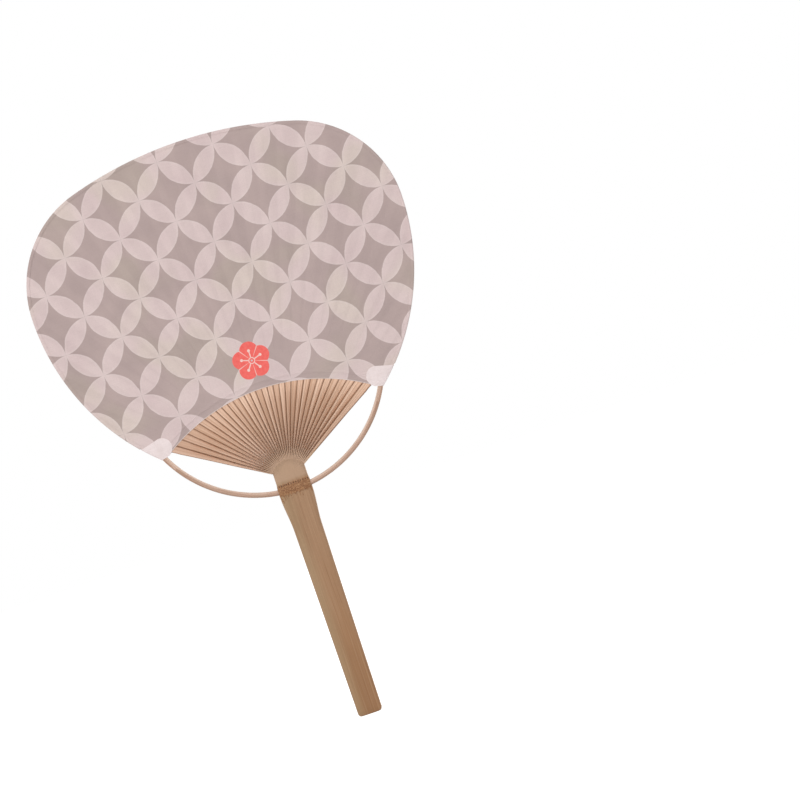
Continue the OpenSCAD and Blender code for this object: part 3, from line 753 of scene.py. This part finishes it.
def handle_ring(z, wall_only=False):
    """A level section, and for each point -1 on the skin, 0 on a flank or 1 on the pith."""
    half = handle_half(z)
    clear = ROOT_R ** 2 - (z - APEX_Z) ** 2
    wide = half if z < APEX_Z or clear > half ** 2 else math.sqrt(max(clear, 0.04))
    count, side = 49, 4
    ring, face = [], []
    steps = [math.sin(math.pi / 2 * (2 * i / (count - 1) - 1)) for i in range(count)]
    round_end = 0.35 * (1 - min(1, z / 0.8)) ** 2
    for s in steps:
        x = s * wide
        ring.append((x, handle_front(x, z, half) + round_end - skin_relief(x, z), z))
        face.append(-1.0 if abs(s) < 0.985 else -0.3)
    y0, y1 = handle_front(wide, z, half), handle_back(wide, half, wall_only)
    flank = [mix(y0, y1, k / (side + 1)) for k in range(1, side + 1)]
    ring += [(wide - 0.04 * (1 + wobble(y / 0.8, 9, z / 20, 11)), y, z) for y in flank]
    face += [0.0] * side
    for s in reversed(steps):
        x = s * wide
        ring.append((x, handle_back(x, half, wall_only) - round_end + pith_relief(x, z), z))
        face.append(1.0 if abs(s) < 0.985 else 0.3)
    ring += [(-wide + 0.04 * (1 + wobble(y / 0.8, 9, z / 20, 12)), y, z) for y in reversed(flank)]
    face += [0.0] * side
    return ring, face


def spaced(low, high, step):
    count = max(1, round((high - low) / step))
    return [mix(low, high, i / count) for i in range(count)]


def handle_rings():
    """Sections from the grip's end to the top of the neck, with a step at the ledge."""
    heights = [0.0, 0.1, 0.3, 0.6, 1.0, 1.5, 2.0] + spaced(2.8, 118, 1.4)
    heights += spaced(118, 142, 0.8) + spaced(142, 157, 0.22) + spaced(157, 161, 0.5)
    dome = [APEX_Z + ROOT_R * math.cos(a) for a in np.radians(np.linspace(59, 1.5, 44))]
    heights += [z for z in dome if z > 161.05]
    rings = [handle_ring(z) for z in heights if z <= LEDGE_Z] + [handle_ring(LEDGE_Z)]
    rings.append(handle_ring(LEDGE_Z + 0.02, True))
    return rings + [handle_ring(z, True) for z in heights if z > LEDGE_Z]


def handle():
    rings = handle_rings()
    verts, faces = loft([ring for ring, face in rings])
    piece = new_piece("handle_culm", verts, faces, "handle", culm_bamboo(),
                      {"face": [v for ring, face in rings for v in face]})
    # The bow hole is drilled across the node
    bpy.ops.mesh.primitive_cylinder_add(
        vertices=64, radius=HOLE_R * MM, depth=HOLE_LONG * MM,
        location=(0, 0, HOLE_MID_Z * MM), rotation=(0, math.pi / 2, 0))
    drill = bpy.context.object
    bore = piece.modifiers.new("bore", "BOOLEAN")
    bore.operation, bore.object, bore.solver = "DIFFERENCE", drill, "EXACT"
    apply_modifiers(piece)
    bpy.data.objects.remove(drill)


# ---------------- ribs
def rib_ring(angle, r, y, width, lean, seed, body_t=RIB_T, edge_t=RIB_EDGE):
    """A rib's section, with each point's side, -1 or 1, and its place across, -1 to 1."""
    out = (math.sin(angle), math.cos(angle))
    middle = np.array([out[0] * r, y, APEX_Z + out[1] * r])
    across = np.array([out[1], 0, -out[0]])
    wide = across * math.cos(lean) + np.array([0, math.sin(lean), 0])
    thick = np.array([0, math.cos(lean), 0]) - across * math.sin(lean)
    steps = (-1, -0.93, -0.6, -0.2, 0.2, 0.6, 0.93, 1)
    ring, face, over = [], [], []
    for sign in (-1, 1):
        for s in steps[::-sign]:
            body = 1 - 0.12 * (0.5 + 0.5 * wobble(s * 3, seed, r / 18, sign))
            if abs(s) == 1:
                body = edge_t
            point = middle + wide * width / 2 * s + thick * body_t / 2 * sign * body
            ring.append(tuple(point))
            face.append(float(sign))
            over.append(float(s))
    return ring, face, over


def lap_tilt(r, width):
    """The ribs lap further near the neck, where they stand more on edge."""
    spacing = r * PITCH
    lap = mix(ROOT_LAP, RIB_LAP, ease((r - ROOT_R) / LAP_REACH))
    covered = lap * spacing / math.hypot(width, RIB_T)
    return max(
        math.atan2(RIB_T, width) + math.acos(min(1, covered)),
        math.asin((RIB_T + RIB_FIT) / spacing),
    )


def rib_sections(i):
    """From the neck, where the rib stands on edge, through its twist to its tip."""
    angle = rib_angle(i)
    flat, full, tip = flat_reach(angle), full_reach(angle), tip_reach(angle)
    lapped, narrowed = flat - 2 * RIB_SETTLE, flat - RIB_SETTLE
    lapped_w = RIB_LAP * lapped * PITCH
    root_x = ROOT_R * math.sin(angle)
    root_y = CULM_Y - math.sqrt(CULM_R ** 2 - root_x ** 2) + WALL / 2
    sections = []
    for t in np.linspace(0, 1, 49).tolist():
        r, width = mix(ROOT_R, lapped, t), mix(WALL, lapped_w, t)
        apart = ease((r - ROOT_R) / SPLIT_REACH)
        body_t = mix(ROOT_R * PITCH - RIB_SLIT, RIB_T, apart)
        y, edge_t = root_y * (1 - ease(t)), mix(1.0, RIB_EDGE, apart)
        sections.append(rib_ring(angle, r, y, width, lap_tilt(r, width), i, body_t, edge_t))
    # It settles flat in two short stretches: first it leaves the lap, then its lean
    lean = lap_tilt(lapped, lapped_w)
    for t in (0.5, 1):
        width = mix(lapped_w, (narrowed * PITCH + RIB_COVER) / math.cos(lean), t)
        sections.append(rib_ring(angle, mix(lapped, narrowed, t), 0, width, lean, i))
    for t in (0.5, 1):
        r, tilted = mix(narrowed, flat, t), lean * (1 - t)
        width = (r * PITCH + mix(RIB_COVER, -RIB_SLIT, t)) / math.cos(tilted)
        sections.append(rib_ring(angle, r, 0, width, tilted, i))
    for r in [full] + [mix(full, tip, t) for t in np.linspace(0.05, 1, 20)]:
        sections.append(rib_ring(angle, r, 0, rib_width(angle, r), 0, i))
    return sections


def ribs():
    look = rib_bamboo()
    shades = np.random.RandomState(7).rand(RIB_COUNT)
    for i, shade in enumerate(shades):
        sections = rib_sections(i)
        name = "rib_%02d" % (i + 1)
        verts, faces = loft([ring for ring, face, over in sections])
        new_piece(name + "_slice", verts, faces, name, look, {
            "face": [v for ring, face, over in sections for v in face],
            "across": [v for ring, face, over in sections for v in over],
            "shade": [shade] * len(verts),
        })


# ---------------- bow
def bow_ring(turn):
    """Round section of the bow, shaved flat towards both ends."""
    x = BOW_R * math.sin(turn)
    shave_x = BOW_R * math.sin(BOW_TIP - (BOW_TUCK + BOW_SHAVE) / BOW_R)
    thin_x = BOW_ENTRY[0] - BOW_D
    shaved = min(1, max(0, (abs(x) - shave_x) / (thin_x - shave_x)))
    limit = mix(BOW_D, BOW_TIP_T / 2, shaved)
    count = 24
    ring = []
    for j in range(count):
        a = 2 * math.pi * j / count
        swell = 1 - 0.02 * (0.5 + 0.5 * wobble(math.cos(a) * 2, math.sin(a) * 2, x / 9, 13))
        r = BOW_R + BOW_D / 2 * swell * math.cos(a)
        y = BOW_D / 2 * swell * math.sin(a)
        ring.append((r * math.sin(turn), max(-limit, min(limit, y)), BOW_Z - r * math.cos(turn)))
    return ring


def bow():
    verts, faces = loft([bow_ring(a) for a in np.linspace(BOW_TIP, -BOW_TIP, 300)])
    new_piece("bow_stick", verts, faces, "bow", bow_bamboo())


# ---------------- papers
def paper_grid():
    """Each angle with its column of radii, finer along the thread and the rim."""
    end = math.atan2(CORNER[0], CORNER[1] - APEX_Z) - math.radians(0.15)
    line = CORNER + TAB_TRIM * TAB_ACROSS - np.array([0, APEX_Z])
    margins = [0, 0.3, 0.8, 1.5, 2.3, 3.0, 3.5, 3.8, 4.0, 4.2]
    margins += [4.35, 4.5, 4.65, 4.8, 5.0, 5.2, 5.5, 6, 6.8, 8]
    columns = []
    for a in np.linspace(-end, end, 481):
        ray = np.array([math.sin(abs(a)), math.cos(a)])
        low = max(arch_reach(a), (line @ TAB_ACROSS) / (ray @ TAB_ACROSS))
        high = rim_reach(a, RIM_T + RIM_FIT)
        squeeze = min(1, max(0.05, (high - low) / 30))
        near_rim = high - 3 * squeeze
        column = [low + m * squeeze for m in margins]
        column += [mix(column[-1], near_rim, k / 42) for k in range(1, 43)]
        column += [high - 3 * squeeze * (1 - k / 5) for k in range(1, 6)]
        columns.append((a, np.array(column)))
    return columns


def paper_relief(a, r, side):
    """Height over the ribs, and how hollow the paper is between them."""
    nearest = min(RIB_COUNT - 1, max(0, round((a + FAN) / PITCH)))
    gap = abs(a - rib_angle(nearest)) * r - rib_width(a, r) / 2
    hollow = ease(gap / 1.6) if r < tip_reach(a) else 0.0
    x, z = r * math.sin(a), APEX_Z + r * math.cos(a)
    from_arch = r - arch_reach(a)
    tab_clear = math.hypot(abs(x) - TAB_MID[0], z - TAB_MID[1]) - TAB_W / 2
    edge = ease((rim_reach(a, 0) - r - 2.2) / 5) * ease((tab_clear - 1) / 5)
    from_thread = math.hypot(x, z - ARCH_Z) - ARCH_R - THREAD_INSET
    ridge = THREAD_RISE * math.exp(-(from_thread / THREAD_SPREAD) ** 2)
    crease = abs(wobble(x / 34, side * 5, z / 34, 14)) ** 0.8
    waves = 0.10 * (0.5 + 0.5 * wobble(x / 16, side * 3, z / 22, 15))
    waves = (waves + 0.10 * (1 - min(1, crease * 4))) * (0.35 + 0.65 * ease(from_arch / 6))
    depth = FRONT_HOLLOW if side < 0 else BACK_HOLLOW
    rise = ridge * ease(tab_clear / 1.5 + 0.8) + edge * (waves - depth * hollow)
    return rise, hollow * edge


def clear_of_knot(x, z):
    """Whether a point is outside the gap that the papers leave for the bow's tied end."""
    line = KNOT - BOW_ENTRY
    p = np.array([abs(x), z]) - BOW_ENTRY
    t = min(1, max(0, (p @ line) / (line @ line)))
    return np.linalg.norm(p - t * line) > KNOT_HOLE


def paper(name, side, node, material):
    """A sheet over the ribs, on the front for side -1 and on the back for side 1."""
    outer, inner, hollows = [], [], []
    for a, column in paper_grid():
        reliefs = [paper_relief(a, r, side) for r in column]
        places = [(r * math.sin(a), APEX_Z + r * math.cos(a)) for r in column]
        for rows, y in ((outer, SHEET_OUT), (inner, SHEET_IN)):
            rows.append([(x, side * (y + rise), z) for (x, z), (rise, _) in zip(places, reliefs)])
        hollows.append([hollow for _, hollow in reliefs])
    keep = [[clear_of_knot(x, z) for x, y, z in row[:-1]] for row in outer[:-1]]
    if side > 0:
        outer, inner, hollows, keep = (rows[::-1] for rows in (outer, inner, hollows, keep))
    verts, faces, used = shell(outer, inner, keep)
    hollow = [h for row in hollows for h in row] * 2
    new_piece(name, verts, faces, node, material, {"hollow": [hollow[v] for v in used]})


# ---------------- rim binding and ear tabs
def folded_strip(name, rows, thickness, node, material):
    """A strip of paper given by its outer surface, a row of points at a time, front to back."""
    cols = len(rows[0])
    corners = [(i * cols + j) for i in range(len(rows) - 1) for j in range(cols - 1)]
    faces = [(v, v + 1, v + 1 + cols, v + cols) for v in corners]
    piece = new_piece(name, [p for row in rows for p in row], faces, node, material)
    body = piece.modifiers.new("thickness", "SOLIDIFY")
    body.thickness, body.offset = thickness * MM, -1
    apply_modifiers(piece)


def fold_path(depth, width, bulge):
    """(distance from the fold, depth) from the front leaf's edge round the fold to the back's."""
    leaf = [mix(width, depth, k / 12) for k in range(12)]
    bend = np.radians([80, 60, 40, 20, 0])
    turn = [(depth * (1 - math.cos(a)), -depth * math.sin(a)) for a in bend]
    front = [(d, -depth - bulge(d)) for d in leaf] + turn
    return front + [(d, -y) for d, y in reversed(front[:-1])]


def head_edge():
    """Points of the head's edge, and the way outwards, from the left ear tab over the top."""
    arcs = (
        (0, CROWN_Z, CROWN_R, 0, JOINT),
        (SHOULDER_X, WAIST_Z, SHOULDER_R, JOINT, math.pi / 2),
        (FLANK_X, WAIST_Z, FLANK_R, math.pi / 2, math.pi / 2 + 0.85),
    )
    side = []
    for cx, cz, radius, start, stop in arcs:
        count = int((stop - start) * radius / 1.2)
        for k in range(count):
            a = mix(start, stop, k / count)
            out = np.array([math.sin(a), math.cos(a)])
            p = np.array([cx, cz]) + radius * out
            if (p - TAB_MID) @ TAB_ACROSS > TAB_W / 2 + RIM_FIT:
                side.append((p, out))
    return [(p * (-1, 1), out * (-1, 1)) for p, out in side[:0:-1]] + side


def rim_strip():
    """The binding, with a ragged inner edge that thins out onto the papers."""
    rows = []
    for (x, z), out in head_edge():
        ragged = 1 + 0.10 * wobble(x / 5, 1, z / 5, 16) + 0.05 * wobble(x / 1.3, 2, z / 1.3, 17)
        width = RIM_W * ragged

        def sink(d, width=width):
            return -0.12 * ease((d - width) / 0.9 + 1)

        row = []
        for d, y in fold_path(SHEET_OUT + RIM_T, width, sink):
            lift = 1 + 0.04 * wobble(x / 3 + d, y, z / 3, 18)
            row.append((x - out[0] * d, y * lift, z - out[1] * d))
        rows.append(row)
    folded_strip("rim_strip", rows, RIM_T, "rim_binding", rim_print())


def ear_tab(side, name, node, look):
    """A tab of paper pasted over the corner on both faces, lying over the bow's tied end."""
    rows = []
    radius = TAB_W / 2
    for v in np.sin(np.linspace(-math.pi / 2, math.pi / 2, 41)) * radius:
        start = TAB_MID + v * TAB_ACROSS - np.array([FLANK_X, WAIST_Z])
        b = start @ TAB_ALONG
        u_rim = -b + math.sqrt(b * b - start @ start + FLANK_R ** 2)
        u_in = -math.sqrt(max(0, radius ** 2 - v * v))

        def bulge(d, v=v, u_rim=u_rim):
            u = u_rim - d
            edge = radius - (math.hypot(u, v) if u < 0 else abs(v))
            rise = ease(min(edge, d) / 2.6)
            return rise * (TAB_Y - SHEET_OUT - TAB_T + 0.07 * wobble(u / 3, v / 3, side, 19))

        row = []
        for d, y in fold_path(SHEET_OUT + TAB_T, u_rim - u_in, bulge):
            p = TAB_MID + v * TAB_ACROSS + (u_rim - d) * TAB_ALONG
            row.append((side * p[0], y, p[1]))
        rows.append(row[::side])
    folded_strip(name, rows, TAB_T, node, look)


# ---------------- floor, light and camera
def seen_directly(tree, strength):
    """Strength for rays from the camera, from a gloss or through glass, and 0 for all others."""
    path = new_node(tree, "ShaderNodeLightPath").outputs
    seen = path["Is Camera Ray"]
    for name in ("Is Glossy Ray", "Is Transmission Ray"):
        both = new_node(tree, "ShaderNodeMath", {0: seen, 1: path[name]}, operation="MAXIMUM")
        seen = both.outputs[0]
    scaled = new_node(tree, "ShaderNodeMath", {0: seen, 1: strength}, operation="MULTIPLY")
    return scaled.outputs[0]


def floor():
    """A white floor: it looks white to the camera, and still takes the fan's soft shadow."""
    mesh = bpy.data.meshes.new("floor")
    size = 4.0  # m, to each side
    corners = [(-size, -size, 0), (size, -size, 0), (size, size, 0), (-size, size, 0)]
    mesh.from_pydata(corners, [], [(0, 1, 2, 3)])
    material = bpy.data.materials.new("floor")
    material.use_nodes = True
    tree = material.node_tree
    tree.nodes.clear()
    matt = new_node(tree, "ShaderNodeBsdfDiffuse", {"Color": (0.8, 0.8, 0.8, 1)})
    glow = new_node(tree, "ShaderNodeEmission", {"Strength": seen_directly(tree, FLOOR_GLOW)})
    both = new_node(tree, "ShaderNodeAddShader", {0: matt.outputs[0], 1: glow.outputs[0]})
    new_node(tree, "ShaderNodeOutputMaterial", {0: both.outputs[0]})
    mesh.materials.append(material)
    plane = bpy.data.objects.new("floor", mesh)
    bpy.context.scene.collection.objects.link(plane)


def world():
    """White where it is seen directly, and a plain ambient light for everything else."""
    made = bpy.data.worlds.new("studio")
    bpy.context.scene.world = made
    made.use_nodes = True
    tree = made.node_tree
    parts = {0: seen_directly(tree, 1 - AMBIENT), 1: AMBIENT}
    light = new_node(tree, "ShaderNodeMath", parts, operation="ADD").outputs[0]
    feed(tree, tree.nodes["Background"].inputs["Color"], (1, 1, 1, 1))
    feed(tree, tree.nodes["Background"].inputs["Strength"], light)


def lamp(name, place, size, power):
    """A square lamp that points at the middle of the fan. Place and size are in m."""
    light = bpy.data.lights.new(name, "AREA")
    light.size, light.energy = size, power
    made = bpy.data.objects.new(name, light)
    made.location = place
    made.rotation_euler = (Vector(LAMP_AIM) - Vector(place)).to_track_quat("-Z", "Y").to_euler()
    bpy.context.scene.collection.objects.link(made)


def camera():
    """Looks straight at the front, turned so that the fan leans as in the photograph."""
    data = bpy.data.cameras.new("camera")
    data.lens, data.sensor_width, data.clip_end = LENS, SENSOR, 20
    made = bpy.data.objects.new("camera", data)
    bpy.context.scene.collection.objects.link(made)
    along, across = math.cos(math.radians(LEAN)), math.sin(math.radians(LEAN))
    turn = Matrix(((along, across, 0), (0, 0, -1), (-across, along, 0))).to_4x4()
    away = FRAME_W * LENS / SENSOR
    place = Vector((FRAME_X, -away, FRAME_Z)) * MM
    made.matrix_world = Matrix.Translation(place) @ turn
    bpy.context.scene.camera = made


handle()
ribs()
bow()
paper("front_sheet", -1, "front_paper",
      sheet_print("front_print", front_ink, 0.7, 2.2, 21.0, (0.82, 0.68)))
paper("back_sheet", 1, "back_paper",
      sheet_print("back_print", back_ink, 0.8, 2.4, 51.0, (0.8, 0.62)))
rim_strip()
tab_look = ear_paper()
ear_tab(-1, "left_ear_sheet", "left_ear_tab", tab_look)
ear_tab(1, "right_ear_sheet", "right_ear_tab", tab_look)

thread = frame["nodes"]["spacing_thread"]
thread_look = cotton()
for slot in thread.material_slots:
    slot.material = thread_look

floor()
world()
lamp("key", (-0.9, -1.3, 1.3), 0.9, 17)
lamp("fill", (1.3, -1.4, 0.5), 1.0, 5)
lamp("back_key", (1.0, 1.4, 1.2), 0.9, 17)
lamp("back_fill", (-1.3, 1.3, 0.5), 1.0, 5)
camera()
bpy.context.scene.view_settings.view_transform = "Standard"
